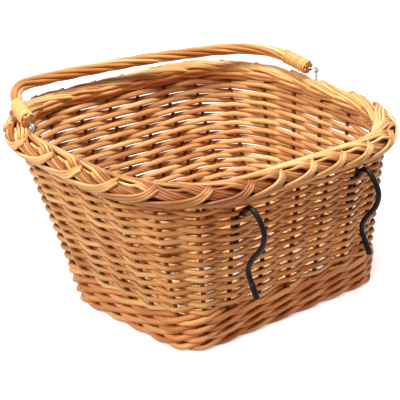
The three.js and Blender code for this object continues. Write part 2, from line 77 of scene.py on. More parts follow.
def mark_rods(mesh, rods, sides):
    """Gives each rod its own tone, and its bark a place across and along the rod.

    The mesh holds the cut ends of all rods first, and then the sheaths, ring by ring."""
    bark = np.zeros((len(mesh.vertices), 3), np.float32)
    tone = np.zeros(len(mesh.vertices), np.float32)
    turn = np.arange(sides) * 2 * math.pi / sides
    start = 2 * sides * len(rods)
    for index, (points, radii) in enumerate(rods):
        steps = np.linalg.norm(np.diff(np.asarray(points, float), axis=0), axis=1)
        along = np.r_[0, np.cumsum(steps)]
        thick = np.broadcast_to(radii, len(points))
        shift = chance.uniform(0, 9, 3)
        own_tone = chance.uniform(0, 1)
        rings = np.stack([
            np.outer(thick, np.cos(turn)), np.outer(thick, np.sin(turn)),
            np.repeat(along[:, None], sides, axis=1)], -1).reshape(-1, 3)
        cut_ends = slice(2 * sides * index, 2 * sides * (index + 1))
        sheath = slice(start, start + len(rings))
        bark[cut_ends] = shift
        bark[sheath] = rings + shift
        tone[cut_ends] = own_tone
        tone[sheath] = own_tone
        start += len(rings)
    keep_on_points(mesh, "bark_place", bark)
    keep_on_points(mesh, "rod_tone", tone)
    sheath_faces = sum(len(points) - 1 for points, _ in rods) * sides
    is_cut = np.arange(len(mesh.polygons)) < len(mesh.polygons) - sheath_faces
    mesh.polygons.foreach_set("material_index", is_cut.astype(np.int32))
    mesh.polygons.foreach_set("use_smooth", ~is_cut)
    mesh.update()


def keep_on_points(mesh, name, values):
    """Keeps a number, or a vector, for each point of the mesh under the given name."""
    kind, key = ("FLOAT_VECTOR", "vector") if values.ndim == 2 else ("FLOAT", "value")
    layer = mesh.attributes.new(name, kind, "POINT")
    layer.data.foreach_set(key, values.astype(np.float32).ravel())


def add_node(tree, kind, settings=(), **links):
    """Adds a node, sets its options and its sockets, and joins what is given as a socket.

    A socket goes by its name, or by its number after an underscore."""
    node = tree.nodes.new(kind)
    for key, value in dict(settings).items():
        setattr(node, key, value)
    for key, value in links.items():
        socket = node.inputs[int(key[1:])] if key[0] == "_" else node.inputs[key.replace("_", " ")]
        if isinstance(value, bpy.types.NodeSocket):
            tree.links.new(value, socket)
        else:
            socket.default_value = value
    return node


def maths(tree, operation, a, b=0.0, c=0.0, clamp=False):
    """Result of one sum on numbers or sockets."""
    settings = {"operation": operation, "use_clamp": clamp}
    return add_node(tree, "ShaderNodeMath", settings, _0=a, _1=b, _2=c).outputs[0]


def blend_colours(tree, share, a, b, kind="MIX"):
    """Colour a, turned towards colour b by the share."""
    settings = {"data_type": "RGBA", "blend_type": kind}
    return add_node(tree, "ShaderNodeMix", settings, _0=share, _6=a, _7=b).outputs[2]


def noise(tree, place, scale, detail, rough=0.5):
    """Cloudy pattern between 0 and 1."""
    sockets = {"Vector": place, "Scale": scale, "Detail": detail, "Roughness": rough}
    return add_node(tree, "ShaderNodeTexNoise", **sockets).outputs[0]


def draw_out(tree, place, along):
    """Scales the place along the rod, which draws a pattern out lengthwise."""
    return add_node(tree, "ShaderNodeMapping", Vector=place, Scale=(1.0, 1.0, along)).outputs[0]


def srgb(red, green, blue):
    """Linear colour of a shade that is written in 0 to 255."""
    return [((c / 255 + 0.055) / 1.055) ** 2.4 for c in (red, green, blue)] + [1.0]


def bark_group():
    """Peeled willow: long fibres, soft blotches, small leaf scars, and painted shade where rods lie on each
    other.
    """
    tree = bpy.data.node_groups.new("Peeled willow", "ShaderNodeTree")
    for name, kind in (("Place", "Vector"), ("Tone", "Float"), ("Pale", "Color"), ("Middle", "Color"),
                       ("Deep", "Color"), ("Varied", "Float"), ("Edge", "Float")):
        tree.interface.new_socket(name, in_out="INPUT", socket_type="NodeSocket" + kind)
    for name, kind in (("Color", "Color"), ("Roughness", "Float"), ("Height", "Float")):
        tree.interface.new_socket(name, in_out="OUTPUT", socket_type="NodeSocket" + kind)
    given = tree.nodes.new("NodeGroupInput").outputs
    made = tree.nodes.new("NodeGroupOutput").inputs

    place = given["Place"]
    fibre = noise(tree, draw_out(tree, place, 0.035), 1500.0, 3.0, 0.6)
    blotch = noise(tree, draw_out(tree, place, 0.2), 95.0, 2.0)
    scars = add_node(tree, "ShaderNodeTexVoronoi", {"feature": "F1"},
                     Vector=draw_out(tree, place, 0.5), Scale=62.0).outputs[0]
    scar = maths(tree, "SUBTRACT", 1.0, maths(tree, "MULTIPLY", scars, 7.0, clamp=True), clamp=True)

    wander = maths(tree, "MULTIPLY", maths(tree, "SUBTRACT", blotch, 0.5), 1.3)
    own = maths(tree, "MULTIPLY", maths(tree, "SUBTRACT", given["Tone"], 0.5), given["Varied"])
    depth = maths(tree, "ADD", maths(tree, "ADD", wander, own), 0.5, clamp=True)
    pale_to_middle = maths(tree, "MULTIPLY", depth, 2.0, clamp=True)
    middle_to_deep = maths(tree, "SUBTRACT", maths(tree, "MULTIPLY", depth, 2.0), 1.0, clamp=True)
    colour = blend_colours(tree, pale_to_middle, given["Pale"], given["Middle"])
    colour = blend_colours(tree, middle_to_deep, colour, given["Deep"])

    # Painted shade: darker towards the edges where the rods lie on their neighbours.
    crease_shade = maths(tree, "POWER", given["Edge"], 1.5)
    fibre_and_crease_shade = maths(tree, "MULTIPLY_ADD", crease_shade, -0.58, maths(tree, "MULTIPLY_ADD", fibre, 0.5, 0.76))
    shade = add_node(tree, "ShaderNodeCombineColor", Red=fibre_and_crease_shade, Green=fibre_and_crease_shade, Blue=fibre_and_crease_shade).outputs[0]
    colour = blend_colours(tree, 1.0, colour, shade, "MULTIPLY")
    colour = blend_colours(tree, maths(tree, "MULTIPLY", scar, 0.65), colour, srgb(96, 52, 26))
    tree.links.new(colour, made["Color"])
    tree.links.new(maths(tree, "MULTIPLY_ADD", fibre, 0.25, 0.27), made["Roughness"])
    height = maths(tree, "ADD", maths(tree, "MULTIPLY", fibre, 0.35), maths(tree, "MULTIPLY", scar, -0.8))
    tree.links.new(maths(tree, "ADD", height, maths(tree, "MULTIPLY", blotch, 0.6)), made["Height"])
    return tree


peeled_willow = bark_group()


def new_material(name):
    """New material, with its node tree and its shader."""
    material = bpy.data.materials.new(name)
    material.use_nodes = True
    return material, material.node_tree, material.node_tree.nodes["Principled BSDF"]


def dress(tree, shader, colour, height, strength, depth):
    """Joins a colour and a bump of the given strength and depth to the shader."""
    bump = add_node(tree, "ShaderNodeBump", Strength=strength, Distance=depth, Height=height)
    tree.links.new(colour, shader.inputs["Base Color"])
    tree.links.new(bump.outputs["Normal"], shader.inputs["Normal"])


def willow_finish(name, pale, middle, deep, varied=0.6, coat=0.1, shine=0.22):
    """Varnished willow in three shades, from its palest to its deepest rods."""
    material, tree, shader = new_material(name)
    place = add_node(tree, "ShaderNodeAttribute", {"attribute_name": "bark_place"}).outputs["Vector"]
    tone = add_node(tree, "ShaderNodeAttribute", {"attribute_name": "rod_tone"}).outputs["Fac"]
    # Mark for the painted shade where rods lie on each other; it reads 0 on pieces that lack it.
    crease_shade = add_node(tree, "ShaderNodeAttribute", {"attribute_name": "rod_crease_shade"}).outputs["Fac"]
    bark = add_node(
        tree, "ShaderNodeGroup", {"node_tree": peeled_willow}, Place=place, Tone=tone, Edge=crease_shade,
        Pale=srgb(*pale), Middle=srgb(*middle), Deep=srgb(*deep), Varied=varied).outputs
    dress(tree, shader, bark["Color"], bark["Height"], 0.35, 0.0003)
    tree.links.new(bark["Roughness"], shader.inputs["Roughness"])
    shader.inputs["Specular IOR Level"].default_value = shine
    shader.inputs["Coat Weight"].default_value = coat
    shader.inputs["Coat Roughness"].default_value = 0.22
    return material


def cut_finish(name, pith, wood):
    """Cut end of a rod: pale wood with flecks of darker pith."""
    material, tree, shader = new_material(name)
    place = add_node(tree, "ShaderNodeTexCoord").outputs["Object"]
    speck = noise(tree, place, 900.0, 3.0)
    fleck = maths(tree, "MULTIPLY_ADD", speck, 1.6, -0.3, clamp=True)
    dress(tree, shader, blend_colours(tree, fleck, srgb(*pith), srgb(*wood)), speck, 0.5, 0.0003)
    shader.inputs["Roughness"].default_value = 0.7
    return material


def finish_piece(piece, body, slot, nodes, *materials):
    """Gives a piece its materials, the body it rides on and the solids it stands for."""
    for material in materials:
        piece.data.materials.append(material)
    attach(piece, body)
    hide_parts(*nodes)


pale_willow = willow_finish("pale_willow", (246, 205, 146), (232, 176, 110), (208, 140, 76))
cut_willow = cut_finish("cut_willow", (150, 92, 52), (226, 178, 122))

base_centre = -0.03083
stick_count = 5
stick_pitch = 0.030
stick_height = 0.0072
stick_radius = 0.0035
stick_bow = 0.0004
stick_points = 9

stick_nodes = [f"base_stick_{i + 1}" for i in range(stick_count)]
sticks = []
for i, node in enumerate(stick_nodes):
    low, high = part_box(node)
    xs = np.linspace(low.x, high.x, stick_points)
    y = base_centre + (i - (stick_count - 1) / 2) * stick_pitch
    bow = chance.uniform(-stick_bow, stick_bow) * np.cos(xs / xs[-1] * math.pi / 2)
    sticks.append((np.c_[xs, y + bow, np.full(stick_points, stick_height)], stick_radius))
base_sticks = lay_rods("base_sticks", sticks, 10)
finish_piece(base_sticks, "basket", "pale_willow", stick_nodes, pale_willow, cut_willow)


# Base weave: three thin rods side by side, taken to and fro over and under the sticks, and two
# more at each end. They are beaten flat on the bench, so their undersides lie in one plane.
willow = willow_finish("willow", (242, 196, 136), (220, 157, 96), (182, 112, 62))

mat_rod_radius = 0.0018
mat_rod_pitch = 0.0038
mat_wave = 0.0055
row_count = 19
row_pitch = 0.012
row_reach = 0.0693
flat_reach = 0.076
flat_length = 0.009
row_points = 24
turn_points = 6
end_rod_xs = (0.1157, 0.1195)
end_rod_reach = 0.065
end_rod_points = 40

base_rods = []
for strand in (-1, 0, 1):
    points = []
    for row in range(row_count):
        x = (row - (row_count - 1) / 2) * row_pitch
        ahead = 1 if row % 2 == 0 else -1
        for step in range(row_points):
            y = ahead * (2 * step / (row_points - 1) - 1) * row_reach
            wave = math.cos(math.pi * y / stick_pitch) * ahead
            flattened = min(1, (flat_reach - abs(y)) / flat_length)
            points.append((x + ahead * mat_rod_pitch * strand, base_centre + y,
                           stick_height - mat_wave * wave * flattened))
        if row < row_count - 1:
            away = row_pitch / 2 - mat_rod_pitch * strand * ahead
            for step in range(1, turn_points):
                angle = math.pi * step / turn_points
                points.append((x + row_pitch / 2 - away * math.cos(angle),
                               base_centre + ahead * (row_reach + away * math.sin(angle)), stick_height))
    base_rods.append((points, mat_rod_radius))
for side in (-1, 1):
    for x in end_rod_xs:
        ys = np.linspace(-end_rod_reach, end_rod_reach, end_rod_points)
        zs = stick_height + mat_wave * np.cos(np.pi * ys / stick_pitch)
        xs = np.full(end_rod_points, side * x)
        base_rods.append((np.c_[xs, ys + base_centre, zs], mat_rod_radius))
base_mat = lay_rods("base_mat", base_rods)
finish_piece(base_mat, "basket", "willow", ["base_weave"], willow, cut_willow)


# Stakes: twenty-seven upright rods, the ribs of the tub. They stand in the waling, gather at
# the corners of the foot and reach up into the border. Two stand close to the hooks' legs.
class Outline:
    """Rounded rectangle, walked from the middle of its back side round towards +X."""

    def __init__(self, half_width, back, front, radius):
        self.radius = radius
        self.reach = np.array([(front - back) / 2, half_width] * 2)
        self.straight = np.array([half_width - radius, (front - back) / 2 - radius] * 2)
        self.span = 2 * (self.straight + math.pi / 4 * radius)
        self.ends = np.cumsum(self.span)
        self.length = self.ends[-1]
        self.centre = (back + front) / 2

    def locate(self, distance):
        """Side that a distance falls on, and how far along it, from -1 to 1."""
        left = (distance + self.span[0] / 2) % self.length
        side = np.minimum(np.searchsorted(self.ends, left), 3)
        return side, 2 * (left - self.ends[side] + self.span[side]) / self.span[side] - 1

    def on_side(self, side, along):
        """Point and direction of travel, as x, y and x, y."""
        travel = along * self.span[side] / 2
        straight = self.straight[side]
        turn = np.sign(travel) * np.maximum(abs(travel) - straight, 0) / self.radius
        x = np.clip(travel, -straight, straight) + self.radius * np.sin(turn)
        out = self.reach[side] - self.radius * (1 - np.cos(turn))
        cos, sin = np.cos(side * math.pi / 2), np.sin(side * math.pi / 2)
        heading = side * math.pi / 2 + turn
        return x * cos + out * sin, x * sin - out * cos + self.centre, np.cos(heading), np.sin(heading)


rim_centre = 0.01002
rim_half_depth = 0.1415
rim_back, rim_front = rim_centre - rim_half_depth, rim_centre + rim_half_depth
rim = Outline(half_width=0.177, back=rim_back, front=rim_front, radius=0.103)
foot = Outline(half_width=0.130, back=-0.11558, front=0.05392, radius=0.0255)
border_level = 0.1645
border_slope = 0.05
corner_gather = 0.18


def border_height(y):
    """Height of the border's middle, which slopes up towards the front."""
    return border_level + border_slope * (y - rim_centre)


def wall(distance, z, offset=0.0):
    """Points on the wall at heights above the floor, moved outwards by an offset."""
    distance, z, offset = np.broadcast_arrays(*(np.asarray(v, float) for v in (distance, z, offset)))
    side, along = rim.locate(distance)
    foot_x, foot_y, _, _ = foot.on_side(side, along * (1 + corner_gather) - corner_gather * along ** 3)
    rim_x, rim_y, tangent_x, tangent_y = rim.on_side(side, along)
    low = np.stack([foot_x, foot_y, 0 * z], -1)
    high = np.stack([rim_x, rim_y, border_height(rim_y)], -1)
    tangent = np.stack([tangent_x, tangent_y, 0 * z], -1)
    out = np.cross(tangent, high - low)
    out /= np.linalg.norm(out, axis=-1, keepdims=True)
    share = z / high[..., 2]
    return low + (high - low) * share[..., None] + out * offset[..., None]


def wall_top(distance):
    """Height of the border's middle at a distance along the rim."""
    side, along = rim.locate(np.asarray(distance, float))
    return border_height(rim.on_side(side, along)[1])


stake_count = 27
stake_gap = rim.length / stake_count
first_stake = -0.008
stake_bottom = 0.006
stake_under_border = 0.0027
stake_girths = np.linspace(0.0022, 0.0020, 14)
stake_unevenness = 0.0003
hook_leg_xs = {"left": -0.0865, "right": 0.070}
hook_leg_height = 0.135
moved_stakes = {"left": 25, "right": 2}
leg_to_stake = {"left": -0.0054, "right": 0.0054}

stake_places = np.array([first_stake + i * stake_gap for i in range(stake_count)])
leg_places = {}
for name, leg_x in hook_leg_xs.items():
    place = leg_x
    for _ in range(6):
        place += leg_x - wall(place, hook_leg_height)[0]
    leg_places[name] = place
    stake_places[moved_stakes[name]] = place % rim.length + leg_to_stake[name]

stake_rods = []
for place in stake_places:
    heights = np.linspace(stake_bottom, float(wall_top(place)) - stake_under_border, len(stake_girths))
    lean = chance.normal(0, stake_unevenness, len(stake_girths))
    stake_rods.append((wall(place, heights, lean), stake_girths))
stakes = lay_rods("stakes", stake_rods)
# Darker than the weavers: partly the stakes' own colour, partly painted shade in the holes between weave
# rows.
stake_willow = willow_finish(
    "stake_willow", (164, 98, 54), (128, 70, 36), (92, 46, 22), coat=0.0, shine=0.1)
stake_nodes = [f"stake_{i + 1:02d}" for i in range(stake_count)]
finish_piece(stakes, "basket", "willow", stake_nodes, stake_willow, cut_willow)


# Waling: four rows of thick rods, three to a row, that twist round each other and round the
# stakes. They bind the sides to the base, and a pair of thin rods inside covers the mat's edge.
wale_points = 271
wale_rows = 4
wale_row_height = 0.0088
wale_row_lag = 0.37
wale_strands = 3
wale_twist_points = 30
wale_bottom = 0.0051
wale_radius = 0.00275
wale_swell = 0.07
wale_swing = 0.0036
wale_rise = 0.0026
above_floor = 0.0002
edge_rods = 2
edge_rod_twist_points = 15
edge_rod_radius = 0.0021
edge_rod_height = 0.0118
edge_rod_inside = 0.0074
edge_rod_swing = 0.0017
edge_rod_rise = 0.0012

wale_places = np.linspace(0, rim.length, wale_points) + first_stake
wale_rods = []
for row in range(wale_rows):
    for strand in range(wale_strands):
        twists = np.arange(wale_points) / wale_twist_points
        lay = 2 * math.pi * (twists + strand / wale_strands + row * wale_row_lag)
        thick = wale_radius * (1 + wale_swell * np.sin(lay * 2 + strand))
        heights = wale_bottom + wale_row_height * row + wale_rise * np.sin(lay - 0.3)
        points = wall(wale_places, heights, wale_swing * np.cos(lay))
        points[:, 2] = np.maximum(points[:, 2], thick + above_floor)
        wale_rods.append((points, thick))
for strand in range(edge_rods):
    lay = 2 * math.pi * (np.arange(wale_points) / edge_rod_twist_points + strand / edge_rods)
    heights = edge_rod_height + edge_rod_rise * np.sin(lay)
    points = wall(wale_places, heights, edge_rod_swing * np.cos(lay) - edge_rod_inside)
    wale_rods.append((points, edge_rod_radius))
waling = lay_rods("waling", wale_rods)
wale_willow = willow_finish("wale_willow", (244, 192, 132), (224, 156, 96), (188, 114, 64))
finish_piece(waling, "basket", "willow", ["base_wale"], wale_willow, cut_willow)


# Side weave: whole rods, each passed in front of one stake and behind the next, so that every
# row takes the other side of a stake. Each rod is thickest where it passes a stake.
weave_bottom = 0.0350
weave_under_top = 0.0085
weave_rows = 27
weave_swing = 0.0038
swing_fullness = 0.9
swing_lag = 0.03
weave_inset = 0.0005
weave_passes = 790
passes_overlap = 0.2
points_per_pass = 11
taper_passes = 32
rod_share_of_row = 0.635
pressed_share = 0.4


def weave_line(passed, rise):
    """Points, outward directions and row spacing of the weave, after the stakes passed so far."""
    line = 0
    before = np.floor(passed)
    for stake, share in ((before, 1 - passed + before), (before + 1, passed - before)):
        place = stake_places[(stake % stake_count).astype(int)]
        spacing = (wall_top(place) - weave_under_top - weave_bottom) / weave_rows
        height = weave_bottom + spacing * passed / stake_count + rise * spacing * np.sin(math.pi * passed)
        swing = np.arcsin(swing_fullness * np.cos(math.pi * (passed - swing_lag)))
        offset = weave_swing * swing / math.asin(swing_fullness) - weave_inset
        near, far = wall(place, height, offset), wall(place, height, offset + 1)
        line = line + np.c_[near, far - near, spacing] * share[:, None]
    out = line[:, 3:6] / np.linalg.norm(line[:, 3:6], axis=1, keepdims=True)
    return line[:, :3], out, line[:, 6]


def press_rods(piece, rods, across, share, sides=8):
    """Presses rods to an oval section, thinner by the share along the given directions, and marks
    how near a point is to the edges where the rods lie on each other, for painted shade there."""
    place = np.zeros(len(piece.data.vertices) * 3)
    piece.data.vertices.foreach_get("co", place)
    place = place.reshape(-1, 3)
    ends = np.array([points[end] for points, _ in rods for end in (0, -1)])
    end_outs = np.array([outs[end] for outs in across for end in (0, -1)])
    nearest = np.linalg.norm(place[:2 * sides * len(rods), None] - ends, axis=2).argmin(1)
    middle = np.vstack([ends[nearest], *(np.repeat(points, sides, axis=0) for points, _ in rods)])
    out = np.vstack([end_outs[nearest], *(np.repeat(outs, sides, axis=0) for outs in across)])
    facing = ((place - middle) * out).sum(1)
    # Painted shade mark: 0 on the pressed faces, rising to 1 at the edges where rods lie on each other.
    crease_shade = 1 - abs(facing) / np.maximum(np.linalg.norm(place - middle, axis=1), 1e-6)
    keep_on_points(piece.data, "rod_crease_shade", crease_shade)
    place -= share * facing[:, None] * out
    piece.data.vertices.foreach_set("co", place.ravel())
    piece.data.update()


weave_rods, weave_outs = [], []
start = 0.0
while start < weave_passes:
    stop = start + 2 * chance.integers(10, 16) + (1 if start == 0 else 0)
    passed = np.arange(max(start - passes_overlap, 0), stop + passes_overlap, 1 / points_per_pass)
    rise = 0.06 + 0.08 * np.sin(passed * 0.83) * np.sin(passed * 0.217 + 1)
    points, out, spacing = weave_line(passed, rise)
    taper = 1.05 - 0.10 * (passed - passed[0]) / taper_passes
    bulge = 0.93 + 0.07 * np.cos(math.pi * passed) ** 2
    points[:, 2] += 0.0003 * np.sin(passed * 1.3 + chance.uniform(0, 6)) + 0.0002 * np.sin(passed * 0.37)
    weave_rods.append((points, rod_share_of_row * spacing * chance.uniform(0.95, 1.04) * taper * bulge))
    weave_outs.append(out)
    start = stop
side_weaving = lay_rods("side_weaving", weave_rods)
press_rods(side_weaving, weave_rods, weave_outs, pressed_share)
finish_piece(side_weaving, "basket", "willow", ["side_weave"], willow, cut_willow)


# Border: the stakes' own tops, bent down and plaited round the rim. Bands of four rods cross
# from the inner edge to the outer over a core, and pale rods, three by three, rise over them
# from below and are cut off. Five more rods run round inside.
def smooth_line(points, steps):
    """Smooth line through the points, with so many steps in each stretch."""
    p = np.asarray(points, float)
    p = np.vstack([2 * p[0] - p[1], p, 2 * p[-1] - p[-2]])
    t = (np.arange(steps) / steps)[:, None]
    line = []
    for a, b, c, d in zip(p, p[1:], p[2:], p[3:]):
        ab, bc, cd = (max(np.linalg.norm(v - u) ** 0.5, 1e-6) for u, v in ((a, b), (b, c), (c, d)))
        out = ((b - a) / ab - (c - a) / (ab + bc) + (c - b) / bc) * bc
        into = ((c - b) / bc - (d - b) / (bc + cd) + (d - c) / cd) * bc
        line.append((2 * t ** 3 - 3 * t ** 2 + 1) * b + (t ** 3 - 2 * t ** 2 + t) * out
                    + (3 * t ** 2 - 2 * t ** 3) * c + (t ** 3 - t ** 2) * into)
    return np.vstack([*line, p[-2:-1]])


border_half_width = 0.01475
border_half_height = 0.0117
gap_in_mm = 40.6
degree_in_mm = 0.206


def plait(route, shift, aside, radius):
    """Rod of the border. Its route is in stake gaps along the rim, degrees round the section and
    millimetres under the skin; aside is its place in the band, in millimetres."""
    flat = [((gaps + shift) * gap_in_mm, turn * degree_in_mm, sink) for gaps, turn, sink in route]
    line = smooth_line(flat, 4)
    ahead = np.gradient(line[:, :2], axis=0)
    ahead /= np.linalg.norm(ahead, axis=1, keepdims=True)
    turn = np.radians((line[:, 1] + ahead[:, 0] * aside) / degree_in_mm)
    side, along = rim.locate((line[:, 0] - ahead[:, 1] * aside) / gap_in_mm * stake_gap + first_stake)
    x, y, tangent_x, tangent_y = rim.on_side(side, along)
    depth = radius + line[:, 2] / 1000
    out = (border_half_width - depth) * np.cos(turn)
    up = (border_half_height - depth) * np.sin(turn)
    return np.c_[x + tangent_y * out, y - tangent_x * out, border_height(y) + up]


def tone_and_shade_rods(piece, rods, share, steps, extra, own, sides=8):
    """Narrows the rods' tones to a share, adds to each rod its painted shade, and darkens it more towards
    its end.
    """
    tone = np.zeros(len(piece.data.vertices), np.float32)
    piece.data.attributes["rod_tone"].data.foreach_get("value", tone)
    tone *= share
    stop = 2 * sides * len(rods)
    for (points, _), rod_shade in zip(rods, own):
        tone[stop:stop + len(points) * sides] += rod_shade
        stop += len(points) * sides
        tone[stop - steps * sides:stop] += extra * np.repeat(np.clip(np.arange(steps) / 5, 0, 1), sides)
    piece.data.attributes["rod_tone"].data.foreach_set("value", tone)


crescent = [
    (-2.1, -112, 2.4), (-1.7, -100, 1.0), (-1.3, -86, 0.3), (-0.9, -72, 0), (-0.5, -59, 0), (-0.1, -46, 0),
    (0.3, -34, 0), (0.6, -21, 0), (0.8, -9, 0), (0.94, 5, 0), (1.04, 20, 0.1), (1.12, 36, -0.4),
    (1.19, 51, -0.6), (1.25, 63, -0.4)]
band = [
    (-1.8, 140, 9.0), (-1.65, 137, 5.0), (-1.45, 131, 1.8), (-1.2, 124, 0.6), (-0.9, 116, 0.6),
    (-0.58, 106, 0.6), (-0.25, 96, 0.2), (-0.05, 84, 0), (0.1, 69, 0.3), (0.3, 50, 1.3), (0.48, 31, 2.4),
    (0.66, 12, 3.4), (0.86, -7, 4.6), (1.05, -24, 5.6)]
pale_asides = (-3.3, 0, 3.3)
pale_radius = 0.00163
pale_slant = 0.01
tip_taper = (1, 0.96, 0.75)
band_asides = (-6.5, -3.3, 0, 3.3)
band_radius = 0.00165
band_lag = 0.18
hidden_from, hidden_until = -0.8, -0.1
hidden_sink = 3.6

pale_rods, band_rods = [], []
for stroke in range(stake_count):
    shift = stroke + chance.uniform(-0.07, 0.07)
    for aside in pale_asides:
        radius = pale_radius * chance.uniform(0.94, 1.06)
        tip = chance.integers(0, 3)
        points = plait(crescent, shift + pale_slant * aside, aside, radius)[:-1 - tip]
        radii = np.full(len(points), radius)
        radii[-len(tip_taper):] *= tip_taper
        pale_rods.append((points, radii))
    for aside in band_asides:
        radius = band_radius * chance.uniform(0.94, 1.06)
        route = band
        if aside == band_asides[0]:
            # The first rod of a band comes up from under the rods beside it.
            route = [(gaps, turn, sink + hidden_sink * (gaps < hidden_until))
                     for gaps, turn, sink in band if gaps > hidden_from]
        points = plait(route, shift - band_lag, aside + chance.uniform(-0.3, 0.3), radius)
        band_rods.append((points, radius))

# Painted shade: the border rods round the near corner, which lies in shade, get a deeper tone.
corner_stroke = 23.6
corner_strokes = 2.4
corner_painted_shade = 0.5 * np.exp(-((np.arange(stake_count) - corner_stroke) / corner_strokes) ** 2)
honey_willow = willow_finish(
    "honey_willow", (236, 198, 136), (216, 158, 96), (154, 90, 48), varied=1.0, coat=0.15)
border_pairs = lay_rods("border_pairs", pale_rods)
pale_painted_shade = np.repeat(corner_painted_shade, len(pale_asides))
tone_and_shade_rods(border_pairs, pale_rods, share=0.5, steps=8, extra=0.25, own=pale_painted_shade)
finish_piece(border_pairs, "basket", "pale_willow", ["plaited_border"], honey_willow, cut_willow)
border_bands = lay_rods("border_bands", band_rods)
band_painted_shade = np.repeat(corner_painted_shade, len(band_asides))
# The bands darken towards their ends as painted shade, where they turn down and under on the outside.
tone_and_shade_rods(border_bands, band_rods, share=0.6, steps=24, extra=0.45, own=band_painted_shade)
finish_piece(border_bands, "basket", "pale_willow", ["plaited_border"], honey_willow, cut_willow)

inner_rows = ((128, 3.2), (144, 4.2), (163, 5.0), (185, 5.6), (208, 6.0))
inner_wave = 2.3
inner_depth = 0.0019
inner_radius = 0.0023
inner_rods = []
for row, (turn, sink) in enumerate(inner_rows):
    half_gaps = np.arange(2 * stake_count + 2) / 2
    route = [(gaps, turn, sink + inner_wave * math.cos(math.pi * (gaps + row))) for gaps in half_gaps]
    inner_rods.append((plait(route, 0, 0, inner_depth), inner_radius))
border_inner = lay_rods("border_inner", inner_rods)
finish_piece(border_inner, "basket", "pale_willow", ["plaited_border"], willow, cut_willow)

core_turns = (-90, -45, 0, 45, 90, 130)
core_sink = 6.2
core_depth = 0.0032
core_radius = 0.0036
core_rods = []
for turn in core_turns:
    route = [(gaps, turn, core_sink) for gaps in range(stake_count + 1)]
    core_rods.append((plait(route, 0, 0, core_depth), core_radius))
border_core = lay_rods("border_core", core_rods)
# Dark brown: partly the core's own colour, partly painted shade where it shows in the gaps under the bands.
core_willow = willow_finish(
    "core_willow", (176, 110, 62), (140, 80, 42), (98, 54, 28), coat=0.0, shine=0.1)
finish_piece(border_core, "basket", "pale_willow", ["plaited_border"], core_willow, cut_willow)


# Hooks: two steel wires with a black plastic coat. Each stands in the weave beside a stake,
# comes out between two rows and bends into an S that hangs over the handlebar. A thicker
# sleeve closes its tip.
def coated_wire_finish():
    """Black plastic with a fine grain, paler where it is worn."""
    material, tree, shader = new_material("coated_wire")
    place = add_node(tree, "ShaderNodeTexCoord").outputs["Object"]
    grain = noise(tree, place, 700.0, 4.0)
    worn = maths(tree, "MULTIPLY_ADD", noise(tree, place, 85.0, 3.0), 2.4, -1.2, clamp=True)
    dress(tree, shader, blend_colours(tree, worn, srgb(6, 6, 7), srgb(16, 16, 18)), grain, 0.25, 0.0002)
    tree.links.new(maths(tree, "MULTIPLY_ADD", grain, 0.25, 0.22), shader.inputs["Roughness"])
    shader.inputs["Specular IOR Level"].default_value = 0.15
    return material


coated_wire = coated_wire_finish()
hook_radius = 0.0026
hook_crest = 0.008
hook_reach = 0.0281
leg_depth = 0.032
leg_bend = 0.0052
face_beyond_wall = 0.0061
wire_in_sleeve = 0.004
sleeve_runs = np.array([0.0003, 0.0006, 0.008, 0.0145, 0.0155, 0.0159])
sleeve_girths = np.array([0.00265, 0.0029, 0.0029, 0.0029, 0.0026, 0.0019])

for name, leg_x in hook_leg_xs.items():
    hook_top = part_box(f"hook_{name}")[1].z
    exit_z = hook_top - hook_radius - hook_crest
    place = leg_places[name]
    wall_y = wall(place, exit_z)[1]
    leg = [wall(place, exit_z - leg_depth), wall(place, exit_z - leg_depth / 2)]
    for turn in np.linspace(0, math.pi / 2, 5):
        leg.append((leg_x, wall_y - leg_bend + leg_bend * math.cos(turn),
                    exit_z - leg_bend + leg_bend * math.sin(turn)))
    face = wall_y - face_beyond_wall
    outer = face - hook_reach
    swing = [
        (face + 0.001, 0), (face - 0.002, 0.00096), (face - 0.0045, 0.0056), (face - 0.011, hook_crest),
        (outer + 0.008, 0.0016), (outer, -0.01216), (outer + 0.0022, -0.0248), (outer + 0.0066, -0.0316),
        (outer + 0.0126, -0.039), (outer + 0.0163, -0.0448), (outer + 0.0184, -0.0502),
        (outer + 0.0181, -0.0566), (outer + 0.0142, -0.064)]
    wire = np.vstack([leg, smooth_line([(leg_x, y, exit_z + z) for y, z in swing], 6)])
    ahead = (wire[-1] - wire[-2]) / np.linalg.norm(wire[-1] - wire[-2])
    tip = wire[-1] + ahead * wire_in_sleeve
    hook = lay_rods(f"wire_hook_{name}", [(np.vstack([wire, tip]), hook_radius)], 16)
    finish_piece(hook, "basket", "coated_wire", [f"hook_{name}"], coated_wire, coated_wire)
    sleeve = lay_rods(f"hook_cap_{name}", [(wire[-1] + sleeve_runs[:, None] * ahead, sleeve_girths)], 16)
    finish_piece(sleeve, "basket", "coated_wire", [f"hook_sleeve_{name}"], coated_wire, coated_wire)


# Bow handle: six rods twisted in a long lay round a seventh and bent to a low bow. It hangs on
# wire ties at both ends, and leans over the front border at rest.
pivots = {-1: np.array([-0.1675, 0.07102, 0.1838]), 1: np.array([0.1784, 0.02172, 0.1879])}
handle_centre = (pivots[-1] + pivots[1]) / 2
half_span = np.linalg.norm(pivots[1] - pivots[-1]) / 2
handle_along = (pivots[1] - pivots[-1]) / 2 / half_span
level = np.cross((0, 0, 1), handle_along)
level /= np.linalg.norm(level)
rest_tilt = math.radians(8.7)
handle_up = level * math.cos(rest_tilt) + np.cross(handle_along, level) * math.sin(rest_tilt)
handle_across = np.cross(handle_along, handle_up)


def on_handle(along, up):
    """Point on the bow's plane, along the line through the ties and up from it."""
    return handle_centre + along * handle_along + up * handle_up


